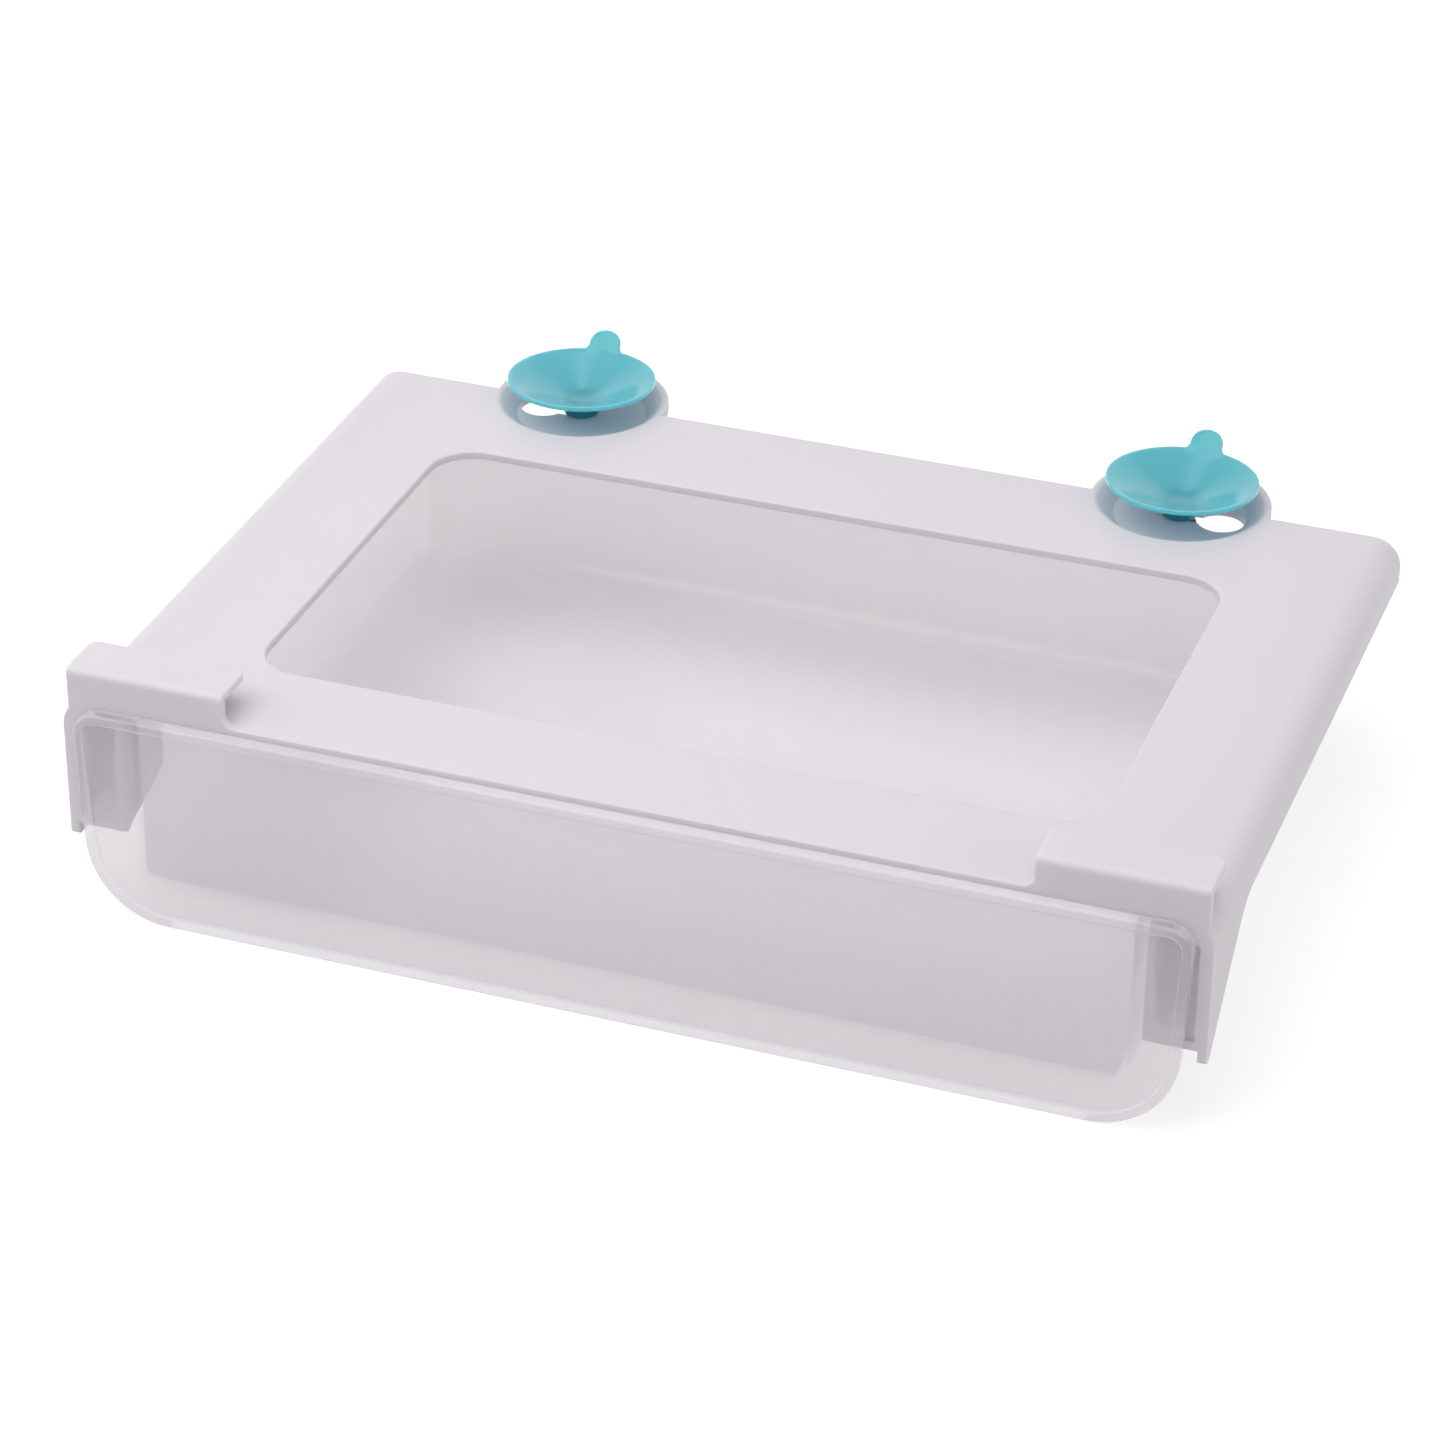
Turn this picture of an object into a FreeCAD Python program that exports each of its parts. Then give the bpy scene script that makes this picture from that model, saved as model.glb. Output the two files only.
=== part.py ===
"""Fridge drawer organizer: a carrier frame that hooks under a fridge shelf, the clear drawer
that slides in it, and the two suction cups that hold its rear edge to the shelf.

Each piece is drawn in the carrier's own frame: X to the right, Y from the plate's front edge to
the rear, Z up from the plate's top face. Its Placement then moves it so that the origin lies at
the middle of the whole object's footprint, at the height of the drawer front's lower edge.
"""

import FreeCAD, Part

import math
import os

import Sketcher

os.makedirs("parts", exist_ok=True)
doc = FreeCAD.newDocument("fridge_drawer_organizer")

# ---------------------------------------------------------------- driving sizes, in millimetres

SIZES = [
    # carrier frame: plate, rolled side edges and side walls
    ("frame_width", 320.0, "carrier over its side walls"),
    ("frame_depth", 214.0, "carrier plate, front edge to rear edge"),
    ("plate_wall", 2.4, "plate and side wall thickness"),
    ("side_drop", 13.2, "side wall's lower edge below the plate's top"),
    ("edge_radius", 8.5, "outside radius of the rolled side edges"),
    ("edge_round", 0.6, "rounding of the plate's free upper edges"),
    ("clip_root", 3.0, "radius between a clip's inner end and the plate"),
    # window in the plate
    ("window_side", 40.5, "carrier's side to the window"),
    ("window_front", 33.0, "plate's front edge to the window"),
    ("window_back", 41.5, "plate's rear edge to the window"),
    ("window_corner", 13.0, "corner radius of the window"),
    # shelf clips over the plate's front corners
    ("clip_width", 46.0, "width of a clip"),
    ("clip_inset", 1.6, "clip's outer end inside the carrier's side"),
    ("clip_rise", 9.2, "clip's top over the plate's top"),
    ("clip_reach", 16.5, "lip's reach to the rear, from the carrier's front face"),
    ("clip_lip", 2.0, "thickness of a lip"),
    ("clip_corner", 3.0, "plan radius of a lip's rear corners"),
    ("clip_bend", 2.0, "rounding of a clip's front upper edge"),
    # legs below the front corners
    ("front_wall", 2.4, "thickness of the carrier's front walls"),
    ("leg_width", 17.0, "width of a leg"),
    ("leg_drop", 39.5, "leg's front wall below the plate's top"),
    ("brace_drop", 43.4, "brace's tip below the plate's top"),
    ("brace_depth", 34.5, "brace's reach to the rear along the side wall"),
    ("brace_tip", 3.4, "depth of the brace's tip"),
    ("brace_blend", 17.0, "radius between a brace and the side wall's lower edge"),
    ("brace_round", 1.2, "rounding of the brace's tip"),
    ("leg_wall", 2.0, "leg's inner side wall"),
    ("leg_depth", 24.0, "depth of a leg's hollow"),
    ("leg_rear_drop", 31.0, "leg's rear wall below the plate's top"),
    ("leg_back", 1.6, "leg's rear wall and floor"),
    ("mouth_bottom", 33.4, "lower edge of a leg's open mouth below the plate's top"),
    ("mouth_edge", 1.6, "leg's inner side to its mouth, at the top"),
    ("mouth_outer", 6.0, "carrier's side to the mouth"),
    ("mouth_taper", 1.6, "narrowing of the mouth's inner side over its height"),
    ("step_outer", 3.5, "carrier's side to the shallow step beside a mouth"),
    ("step_width", 2.6, "width of the step"),
    ("step_top", 7.5, "upper edge of the step below the plate's top"),
    ("step_bottom", 37.2, "lower edge of the step below the plate's top"),
    ("step_depth", 1.2, "depth of the step"),
    ("step_round", 2.0, "radius of the step's upper outer corner"),
    # runners that carry the drawer's flanges
    ("runner_wall", 1.6, "thickness of a runner"),
    ("slide_clearance", 0.3, "gap over and under a drawer flange"),
    ("flange_wall", 1.6, "thickness of a drawer flange"),
    ("flange_side_gap", 1.1, "drawer flange to the leg's notch"),
    # ears and keyholes for the suction cups
    ("ear_inset", 66.3, "carrier's side to an ear's centre"),
    ("ear_overhang", 1.7, "ear's centre behind the plate's rear edge"),
    ("ear_radius", 26.5, "outside radius of an ear"),
    ("ear_skirt", 3.4, "height of an ear's outer edge"),
    ("ear_rim", 1.6, "width of an ear's edge round the dish"),
    ("dish_floor", 19.5, "radius of the dish's flat floor"),
    ("dish_depth", 4.5, "depth of the dish"),
    ("dish_wall", 2.0, "thickness of the dish's floor"),
    ("dish_lip", 2.5, "rounding of the dish's upper edge"),
    ("keyhole_clearance", 2.0, "gap between a cup's button and the keyhole's wide end"),
    ("keyhole_travel", 12.3, "cup's seat to the wide end's centre"),
    ("slot_width", 7.0, "width of the keyhole's slot"),
    # drawer box
    ("leg_gap", 3.5, "gap between a leg and the drawer box"),
    ("box_setback", 5.0, "plate's rear edge to the box's rear face"),
    ("box_drop", 57.0, "box's underside below the plate's top"),
    ("box_wall", 2.0, "wall of the drawer box"),
    ("box_corner", 9.0, "radius of the box's rear corners"),
    ("box_bottom_round", 8.0, "radius of the box's lower edges"),
    ("rear_notch_side", 14.5, "box's side to the notch in its rear wall"),
    ("rear_notch_drop", 11.0, "box's rear wall below the plate's top"),
    ("flange_gap", 8.0, "gap between a flange's edge and the side wall"),
    # drawer front
    ("front_gap", 0.3, "drawer front to the carrier's front face"),
    ("panel_wall", 2.4, "thickness of the drawer front inside its rim"),
    ("rim_proud", 1.4, "rim's step in front of the panel"),
    ("rim_width", 3.0, "width of the rim"),
    ("front_top_inset", 4.2, "carrier's side to the drawer front's side, at its top"),
    ("front_bottom_inset", 7.2, "carrier's side to the drawer front's side, at its bottom"),
    ("front_top_drop", 1.8, "drawer front's top below the plate's top"),
    ("front_bottom_drop", 65.2, "drawer front's bottom below the plate's top"),
    ("front_top_corner", 7.0, "radius of the drawer front's upper corners"),
    ("front_bottom_corner", 24.0, "radius of the drawer front's lower corners"),
    ("rim_round", 0.6, "rounding of the rim's front edge"),
    # suction cups
    ("cup_radius", 22.3, "radius of a cup's rim"),
    ("cup_rise", 6.9, "cup's rim over the plate's top"),
    ("cup_rim_width", 0.9, "flat width of the rim"),
    ("cup_rim_height", 1.2, "height of the rim's outer edge"),
    ("cup_wall", 1.5, "wall of the cone, measured upright"),
    ("collar_radius", 5.2, "radius of the collar on the dish"),
    ("collar_height", 2.4, "height of the collar"),
    ("seat_clearance", 0.3, "gap between a cup and the ear over and under the dish's floor"),
    ("neck_clearance", 0.3, "gap between a cup's neck and the slot's sides"),
    ("button_radius", 5.0, "radius of the button under the ear"),
    ("button_height", 2.4, "height of the button"),
    ("tab_width", 9.8, "width of the pull tab"),
    ("tab_wall", 1.0, "thickness of the pull tab"),
    ("tab_length", 6.9, "length of the pull tab from its root"),
    ("tab_crown", 1.0, "straight stretch between the pull tab's upper corners"),
    ("tab_inset", 1.4, "pull tab's root inside the cup's edge"),
    ("tab_root", 0.4, "pull tab's root below the cup's rim"),
    ("tab_tilt", 40.0, "pull tab's lean to the rear, in degrees from upright"),
]

sheet = doc.addObject("Spreadsheet::Sheet", "Sizes")
for row, (alias, value, meaning) in enumerate(SIZES, start=1):
    sheet.set(f"A{row}", meaning)
    sheet.set(f"B{row}", str(value))
    sheet.setAlias(f"B{row}", alias)
doc.recompute()


class Size:
    """A number together with the sheet expression that gives it."""

    def __init__(self, value, text):
        self.value = value
        self.text = text

    def __add__(self, other):
        other = size(other)
        return Size(self.value + other.value, f"({self.text} + {other.text})")

    def __sub__(self, other):
        other = size(other)
        return Size(self.value - other.value, f"({self.text} - {other.text})")

    def __mul__(self, other):
        other = size(other)
        return Size(self.value * other.value, f"({self.text} * {other.text})")

    def __truediv__(self, other):
        other = size(other)
        return Size(self.value / other.value, f"({self.text} / {other.text})")

    def __neg__(self):
        return Size(-self.value, f"(0 - {self.text})")


def size(x):
    return x if isinstance(x, Size) else Size(float(x), f"({float(x)})")


class Named:
    """The sheet's sizes under their aliases."""


s = Named()
for alias, value, meaning in SIZES:
    setattr(s, alias, Size(value, f"Sizes.{alias}"))

# ---------------------------------------------------------------- modelling helpers

NEAR = 0.01  # places closer together than this, in millimetres, count as one
LEAST_CHANGE = 0.001  # a feature that changes the volume by less, in mm3, did nothing


def bind(obj, prop, length):
    obj.setExpression(prop, length.text)


def new_body(label, x=0.0, y=0.0):
    body = doc.addObject("PartDesign::Body", label)
    body.Label = label
    # origin of the whole: middle of the footprint, level with the drawer front's lower edge
    middle = (ear_setback + s.ear_radius + rim_face) / 2
    bind(body, "Placement.Base.x", size(x))
    bind(body, "Placement.Base.y", size(y) - middle)
    bind(body, "Placement.Base.z", s.front_bottom_drop)
    return body


def new_sketch(body, name, role, offset=0.0, across=0.0, up=0.0, tilt=0.0):
    """Empty sketch on one of the body's origin planes, moved along and across it, and tilted
    by so many degrees, so that its upper side leans away from the plane's normal."""
    plane = next(f for f in body.Origin.OriginFeatures if f.Role == role)
    sketch = body.newObject("Sketcher::SketchObject", name)
    sketch.AttachmentSupport = [(plane, "")]
    sketch.MapMode = "FlatFace"
    lean = FreeCAD.Rotation(FreeCAD.Vector(-1, 0, 0), size(tilt).value)
    sketch.AttachmentOffset = FreeCAD.Placement(FreeCAD.Vector(), lean)
    bind(sketch, "AttachmentOffset.Base.x", size(across))
    bind(sketch, "AttachmentOffset.Base.y", size(up))
    bind(sketch, "AttachmentOffset.Base.z", size(offset))
    if tilt:
        bind(sketch, "AttachmentOffset.Rotation.Angle", size(tilt))
    return sketch


def pin_point(sketch, geo, pos, x, y):
    """Bind a point's two coordinates."""
    for kind, coordinate in (("DistanceX", x), ("DistanceY", y)):
        index = sketch.addConstraint(Sketcher.Constraint(kind, -1, 1, geo, pos, coordinate.value))
        sketch.setExpression(f"Constraints[{index}]", coordinate.text)


def set_radius(sketch, geo, radius):
    index = sketch.addConstraint(Sketcher.Constraint("Radius", geo, radius.value))
    sketch.setExpression(f"Constraints[{index}]", radius.text)


def towards(start, end):
    gap = end.value - start.value
    return 0 if abs(gap) < NEAR else math.copysign(1, gap)


def draw_loop(sketch, corners):
    """Closed outline through (x, y) corners; (x, y, radius) rounds a right-angled corner."""
    corners = [tuple(size(v) for v in corner) for corner in corners]
    steps = []
    for i, corner in enumerate(corners):
        x, y = corner[:2]
        if len(corner) == 2:
            steps.append(((x, y), (x, y), None))
            continue
        r = corner[2]
        before, after = corners[i - 1], corners[(i + 1) % len(corners)]
        bx, by = towards(x, before[0]), towards(y, before[1])
        ax, ay = towards(x, after[0]), towards(y, after[1])
        steps.append(((x + r * bx, y + r * by), (x + r * ax, y + r * ay), (r, bx + ax, by + ay, x, y)))
    pieces = []
    for i, (enter, leave, bend) in enumerate(steps):
        if bend:
            r, dx, dy, x, y = bend
            cx, cy = x.value + r.value * dx, y.value + r.value * dy
            first = math.atan2(enter[1].value - cy, enter[0].value - cx)
            last = math.atan2(leave[1].value - cy, leave[0].value - cx)
            forward = math.sin(last - first) > 0
            circle = Part.Circle(FreeCAD.Vector(cx, cy, 0), FreeCAD.Vector(0, 0, 1), r.value)
            low, high = (first, last) if forward else (last, first)
            if high <= low:
                high += 2 * math.pi
            geo = sketch.addGeometry(Part.ArcOfCircle(circle, low, high))
            tail, head = (1, 2) if forward else (2, 1)
            pieces.append((geo, tail, head, enter))
            set_radius(sketch, geo, r)
        goal = steps[(i + 1) % len(steps)][0]
        start = FreeCAD.Vector(leave[0].value, leave[1].value, 0)
        end = FreeCAD.Vector(goal[0].value, goal[1].value, 0)
        geo = sketch.addGeometry(Part.LineSegment(start, end))
        pieces.append((geo, 1, 2, leave))
    for i, (geo, tail, head, start) in enumerate(pieces):
        following = pieces[(i + 1) % len(pieces)]
        sketch.addConstraint(Sketcher.Constraint("Coincident", geo, head, following[0], following[1]))
    for geo, tail, head, start in pieces:
        pin_point(sketch, geo, tail, start[0], start[1])


def draw_circle(sketch, x, y, radius):
    x, y, radius = size(x), size(y), size(radius)
    centre = FreeCAD.Vector(x.value, y.value, 0)
    geo = sketch.addGeometry(Part.Circle(centre, FreeCAD.Vector(0, 0, 1), radius.value))
    pin_point(sketch, geo, 3, x, y)
    set_radius(sketch, geo, radius)


def volume(body):
    return body.Shape.Volume if body.Tip and not body.Shape.isNull() else 0.0


def settle(body, feature, before, grows):
    """Recompute, and stop if the feature did nothing or went the wrong way."""
    doc.recompute()
    change = volume(body) - before
    if not feature.isValid() or (change > 0) != grows or abs(change) < LEAST_CHANGE:
        raise RuntimeError(f"{body.Label}: {feature.Name} changed the volume by {change:.3f} mm3")
    return feature


def pad(body, name, sketch, length, reverse=False):
    before = volume(body)
    feature = body.newObject("PartDesign::Pad", name)
    feature.Profile = sketch
    bind(feature, "Length", size(length))
    feature.Reversed = reverse
    return settle(body, feature, before, True)


def pocket(body, name, sketch, length, reverse=False):
    before = volume(body)
    feature = body.newObject("PartDesign::Pocket", name)
    feature.Profile = sketch
    bind(feature, "Length", size(length))
    feature.Reversed = reverse
    return settle(body, feature, before, False)


def revolve(body, name, sketch):
    before = volume(body)
    feature = body.newObject("PartDesign::Revolution", name)
    feature.Profile = sketch
    feature.ReferenceAxis = (sketch, ["V_Axis"])
    feature.Angle = 360
    return settle(body, feature, before, True)


def round_edges(body, name, radius, test, grows=False):
    """Fillet every edge of the last feature that the test accepts."""
    base = body.Tip
    names = [f"Edge{i}" for i, edge in enumerate(base.Shape.Edges, start=1) if test(edge)]
    if not names:
        raise RuntimeError(f"{body.Label}: {name} found no edge")
    before = volume(body)
    feature = body.newObject("PartDesign::Fillet", name)
    feature.Base = (base, names)
    bind(feature, "Radius", size(radius))
    return settle(body, feature, before, grows)


def at(a, b):
    return abs(a - b) < NEAR


def straight_along(edge, axis):
    """True for a straight edge parallel to axis 0, 1 or 2."""
    if edge.Curve.TypeId != "Part::GeomLine":
        return False
    ends = [v.Point for v in edge.Vertexes]
    return all(at(ends[0][k], ends[1][k]) for k in range(3) if k != axis)


def is_ring(edge, radius, height):
    """True for a level circle of this radius at this height."""
    curve = edge.Curve
    if curve.TypeId != "Part::GeomCircle":
        return False
    return at(abs(curve.Axis.z), 1) and at(curve.Radius, radius.value) and at(curve.Center.z, height)


def on_top(edge, front, rear):
    """True for an edge of the plate's top face that lies between two distances from its front."""
    box = edge.BoundBox
    level = at(box.ZMin, 0) and at(box.ZMax, 0)
    return level and box.YMin > front.value - NEAR and box.YMax < rear.value + NEAR


# ---------------------------------------------------------------- positions shared by the pieces

half_width = s.frame_width / 2
leg_inner = half_width - s.leg_width
window_half = half_width - s.window_side
window_rear = s.frame_depth - s.window_back
ear_x = half_width - s.ear_inset
ear_setback = s.frame_depth + s.ear_overhang
dish_radius = s.ear_radius - s.ear_rim
keyhole_radius = s.button_radius + s.keyhole_clearance
clip_outer = half_width - s.clip_inset
clip_inner = clip_outer - s.clip_width
flange_top = -(s.plate_wall + s.slide_clearance)
flange_bottom = flange_top - s.flange_wall
runner_top = flange_bottom - s.slide_clearance
runner_bottom = runner_top - s.runner_wall
box_half = leg_inner - s.leg_gap
box_rear = s.frame_depth - s.box_setback
flange_edge = half_width - s.plate_wall - s.flange_gap
front_top_half = half_width - s.front_top_inset
front_bottom_half = half_width - s.front_bottom_inset
panel_back = -s.front_gap
panel_face = panel_back - s.panel_wall
rim_face = panel_face - s.rim_proud

# ---------------------------------------------------------------- carrier frame

frame = new_body("carrier_frame")

section = new_sketch(frame, "plate_section", "XZ_Plane")
inner_radius = s.edge_radius - s.plate_wall
draw_loop(section, [
    (-half_width, -s.side_drop),
    (-half_width, 0, s.edge_radius),
    (half_width, 0, s.edge_radius),
    (half_width, -s.side_drop),
    (half_width - s.plate_wall, -s.side_drop),
    (half_width - s.plate_wall, -s.plate_wall, inner_radius),
    (s.plate_wall - half_width, -s.plate_wall, inner_radius),
    (s.plate_wall - half_width, -s.side_drop),
])
pad(frame, "plate", section, s.frame_depth, reverse=True)

window = new_sketch(frame, "window_outline", "XY_Plane")
draw_loop(window, [
    (-window_half, s.window_front, s.window_corner),
    (window_half, s.window_front, s.window_corner),
    (window_half, window_rear, s.window_corner),
    (-window_half, window_rear, s.window_corner),
])
pocket(frame, "window", window, s.plate_wall)

# runners along the inside of both side walls
runners = new_sketch(frame, "runner_sections", "XZ_Plane")
for side in (-1, 1):
    draw_loop(runners, [
        (leg_inner * side, runner_bottom),
        ((half_width - s.plate_wall / 2) * side, runner_bottom),
        ((half_width - s.plate_wall / 2) * side, runner_top),
        (leg_inner * side, runner_top),
    ])
pad(frame, "runners", runners, s.frame_depth, reverse=True)

# front walls: the clip's face above the plate and the leg's face below it
faces = new_sketch(frame, "front_wall_outlines", "XZ_Plane")
for side in (-1, 1):
    draw_loop(faces, [
        (clip_inner * side, -s.plate_wall),
        (leg_inner * side, -s.plate_wall),
        (leg_inner * side, -s.leg_drop),
        (clip_outer * side, -s.leg_drop),
        (clip_outer * side, s.clip_rise),
        (clip_inner * side, s.clip_rise),
    ])
pad(frame, "front_walls", faces, s.front_wall, reverse=True)

# lips that reach back over the plate
lips = new_sketch(frame, "lip_outlines", "XY_Plane", offset=s.clip_rise - s.clip_lip)
for side in (-1, 1):
    draw_loop(lips, [
        (clip_inner * side, 0),
        (clip_outer * side, 0),
        (clip_outer * side, s.clip_reach, s.clip_corner),
        (clip_inner * side, s.clip_reach, s.clip_corner),
    ])
pad(frame, "lips", lips, s.clip_lip)

# braces: the side walls run down behind the front walls to a point
for side, word in ((-1, "left"), (1, "right")):
    inner_face = half_width - s.plate_wall
    brace = new_sketch(frame, f"brace_outline_{word}", "YZ_Plane", offset=inner_face * side)
    draw_loop(brace, [
        (0, -s.edge_radius),
        (s.brace_depth + s.brace_blend, -s.edge_radius),
        (s.brace_depth + s.brace_blend, -s.side_drop),
        (s.brace_depth, -s.side_drop),
        (s.brace_tip, -s.brace_drop),
        (0, -s.brace_drop),
    ])
    pad(frame, f"brace_{word}", brace, s.plate_wall, reverse=side < 0)

# hollow legs: inner side wall, rear wall and floor behind each front wall
for side, word in ((-1, "left"), (1, "right")):
    cheek = new_sketch(frame, f"leg_side_outline_{word}", "YZ_Plane", offset=leg_inner * side)
    draw_loop(cheek, [
        (0, runner_top),
        (s.leg_depth, runner_top),
        (s.leg_depth, -s.leg_rear_drop),
        (0, -s.leg_drop),
    ])
    pad(frame, f"leg_side_{word}", cheek, s.leg_wall, reverse=side < 0)

# height of a brace's sloping edge at the rear of the hollow
brace_slope = (s.brace_drop - s.side_drop) / (s.brace_depth - s.brace_tip)
back_foot = -(s.side_drop + (s.brace_depth - s.leg_depth) * brace_slope)
leg_backs = new_sketch(frame, "leg_rear_outlines", "XZ_Plane", offset=s.leg_back - s.leg_depth)
for side in (-1, 1):
    draw_loop(leg_backs, [
        (leg_inner * side, runner_top),
        ((half_width - s.plate_wall / 2) * side, runner_top),
        ((half_width - s.plate_wall / 2) * side, back_foot),
        (leg_inner * side, back_foot),
    ])
pad(frame, "leg_rears", leg_backs, s.leg_back, reverse=True)

for side, word in ((-1, "left"), (1, "right")):
    floor = new_sketch(frame, f"leg_floor_outline_{word}", "YZ_Plane", offset=leg_inner * side)
    draw_loop(floor, [
        (s.front_wall / 2, -s.mouth_bottom),
        (s.leg_depth - s.leg_back / 2, back_foot + s.leg_back),
        (s.leg_depth - s.leg_back / 2, back_foot),
        (s.front_wall / 2, -(s.mouth_bottom + s.leg_back)),
    ])
    pad(frame, f"leg_floor_{word}", floor, s.leg_width - s.plate_wall / 2, reverse=side < 0)

# open mouths of the hollow legs, a shallow step beside each, and the notches for the drawer's flanges
mouths = new_sketch(frame, "mouth_outlines", "XZ_Plane")
for side in (-1, 1):
    draw_loop(mouths, [
        ((leg_inner + s.mouth_edge) * side, runner_bottom),
        ((half_width - s.mouth_outer) * side, runner_bottom),
        ((half_width - s.mouth_outer) * side, -s.mouth_bottom),
        ((leg_inner + s.mouth_edge + s.mouth_taper) * side, -s.mouth_bottom),
    ])
pocket(frame, "mouths", mouths, s.front_wall)

step_outer_x = half_width - s.step_outer
steps = new_sketch(frame, "step_outlines", "XZ_Plane")
for side in (-1, 1):
    draw_loop(steps, [
        ((step_outer_x - s.step_width) * side, -s.step_top),
        (step_outer_x * side, -s.step_top, s.step_round),
        (step_outer_x * side, -s.step_bottom),
        ((step_outer_x - s.step_width) * side, -s.step_bottom),
    ])
pocket(frame, "steps", steps, s.step_depth)

notches = new_sketch(frame, "notch_outlines", "XZ_Plane")
for side in (-1, 1):
    draw_loop(notches, [
        ((leg_inner - s.flange_side_gap) * side, -s.plate_wall),
        ((flange_edge + s.flange_side_gap) * side, -s.plate_wall),
        ((flange_edge + s.flange_side_gap) * side, runner_top),
        ((leg_inner - s.flange_side_gap) * side, runner_top),
    ])
pocket(frame, "notches", notches, s.front_wall)

# dished ears with keyholes for the suction cups
openings = new_sketch(frame, "dish_openings", "XY_Plane")
for side in (-1, 1):
    draw_circle(openings, ear_x * side, ear_setback, dish_radius)
pocket(frame, "dish_cut", openings, s.plate_wall)

floor_under = -(s.dish_depth + s.dish_wall)
for side, word in ((-1, "left"), (1, "right")):
    dish = new_sketch(frame, f"dish_profile_{word}", "XZ_Plane", offset=-ear_setback, across=ear_x * side)
    draw_loop(dish, [
        (0, -s.dish_depth),
        (s.dish_floor, -s.dish_depth),
        (dish_radius, 0),
        (s.ear_radius, 0),
        (s.ear_radius, -s.ear_skirt),
        (s.dish_floor + s.dish_wall / 2, floor_under),
        (0, floor_under),
    ])
    revolve(frame, f"dish_{word}", dish)

round_edges(frame, "dish_lips", s.dish_lip, lambda e: is_ring(e, dish_radius, 0))

seats = new_sketch(frame, "keyhole_seats", "XY_Plane")
for side in (-1, 1):
    draw_circle(seats, ear_x * side, ear_setback, s.slot_width / 2)
pocket(frame, "seat_holes", seats, -floor_under)

slots = new_sketch(frame, "keyhole_slots", "XY_Plane")
for side in (-1, 1):
    draw_loop(slots, [
        (ear_x * side, ear_setback - s.slot_width / 2),
        ((ear_x + s.keyhole_travel) * side, ear_setback - s.slot_width / 2),
        ((ear_x + s.keyhole_travel) * side, ear_setback + s.slot_width / 2),
        (ear_x * side, ear_setback + s.slot_width / 2),
    ])
pocket(frame, "slots", slots, -floor_under)

wide_ends = new_sketch(frame, "keyhole_wide_ends", "XY_Plane")
for side in (-1, 1):
    draw_circle(wide_ends, (ear_x + s.keyhole_travel) * side, ear_setback, keyhole_radius)
pocket(frame, "wide_ends", wide_ends, -floor_under)

# rounded edges
round_edges(frame, "brace_blends", s.brace_blend, lambda e: straight_along(e, 0) and at(
    e.Vertexes[0].Y, s.brace_depth.value) and at(e.Vertexes[0].Z, -s.side_drop.value), grows=True)
round_edges(frame, "brace_tips", s.brace_round, lambda e: straight_along(e, 0) and at(
    e.Vertexes[0].Z, -s.brace_drop.value))
round_edges(frame, "clip_roots", s.clip_root, lambda e: straight_along(e, 1) and at(
    abs(e.Vertexes[0].X), clip_inner.value) and at(e.Vertexes[0].Z, 0), grows=True)
round_edges(frame, "clip_bends", s.clip_bend, lambda e: straight_along(e, 0) and at(
    e.Vertexes[0].Y, 0) and at(e.Vertexes[0].Z, s.clip_rise.value))
round_edges(frame, "plate_front_edge", s.edge_round, lambda e: straight_along(e, 0) and at(
    e.Vertexes[0].Y, 0) and at(e.Vertexes[0].Z, 0))
round_edges(frame, "window_edge", s.edge_round, lambda e: on_top(e, s.window_front, window_rear))
round_edges(frame, "rear_edge", s.edge_round, lambda e: on_top(
    e, s.frame_depth, ear_setback + s.ear_radius))

# ---------------------------------------------------------------- drawer

drawer = new_body("drawer")

# front: a tapered panel with round corners and a rim that stands in front of it
front = new_sketch(drawer, "front_outline", "XZ_Plane", offset=s.front_gap)
draw_loop(front, [
    (-front_top_half, -s.front_top_drop),
    (front_top_half, -s.front_top_drop),
    (front_bottom_half, -s.front_bottom_drop),
    (-front_bottom_half, -s.front_bottom_drop),
])
pad(drawer, "front", front, s.panel_wall + s.rim_proud)
recess = new_sketch(drawer, "recess_outline", "XZ_Plane", offset=-rim_face)
draw_loop(recess, [
    (-front_top_half + s.rim_width, -(s.front_top_drop + s.rim_width)),
    (front_top_half - s.rim_width, -(s.front_top_drop + s.rim_width)),
    (front_bottom_half - s.rim_width, s.rim_width - s.front_bottom_drop),
    (s.rim_width - front_bottom_half, s.rim_width - s.front_bottom_drop),
])
pocket(drawer, "recess", recess, s.rim_proud)
recess_top = (s.front_top_drop + s.rim_width).value
recess_bottom = (s.front_bottom_drop - s.rim_width).value
round_edges(drawer, "recess_top_corners", s.front_top_corner - s.rim_width, lambda e: straight_along(
    e, 1) and at(e.Vertexes[0].Z, -recess_top), grows=True)
round_edges(drawer, "recess_bottom_corners", s.front_bottom_corner - s.rim_width, lambda e: straight_along(
    e, 1) and at(e.Vertexes[0].Z, -recess_bottom), grows=True)
round_edges(drawer, "front_top_corners", s.front_top_corner, lambda e: straight_along(e, 1) and at(
    e.Vertexes[0].Z, -s.front_top_drop.value))
round_edges(drawer, "front_bottom_corners", s.front_bottom_corner, lambda e: straight_along(e, 1) and at(
    e.Vertexes[0].Z, -s.front_bottom_drop.value))
round_edges(drawer, "rim_edges", s.rim_round, lambda e: all(
    at(v.Y, rim_face.value) for v in e.Vertexes) and at(e.BoundBox.YMin, e.BoundBox.YMax))

# box: block with rounded lower edges behind the front, then its hollow
block = new_sketch(drawer, "box_outline", "XY_Plane", offset=-s.box_drop)
draw_loop(block, [
    (-box_half, panel_face / 2),
    (box_half, panel_face / 2),
    (box_half, box_rear, s.box_corner),
    (-box_half, box_rear, s.box_corner),
])
pad(drawer, "box", block, s.box_drop + flange_top)


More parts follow.
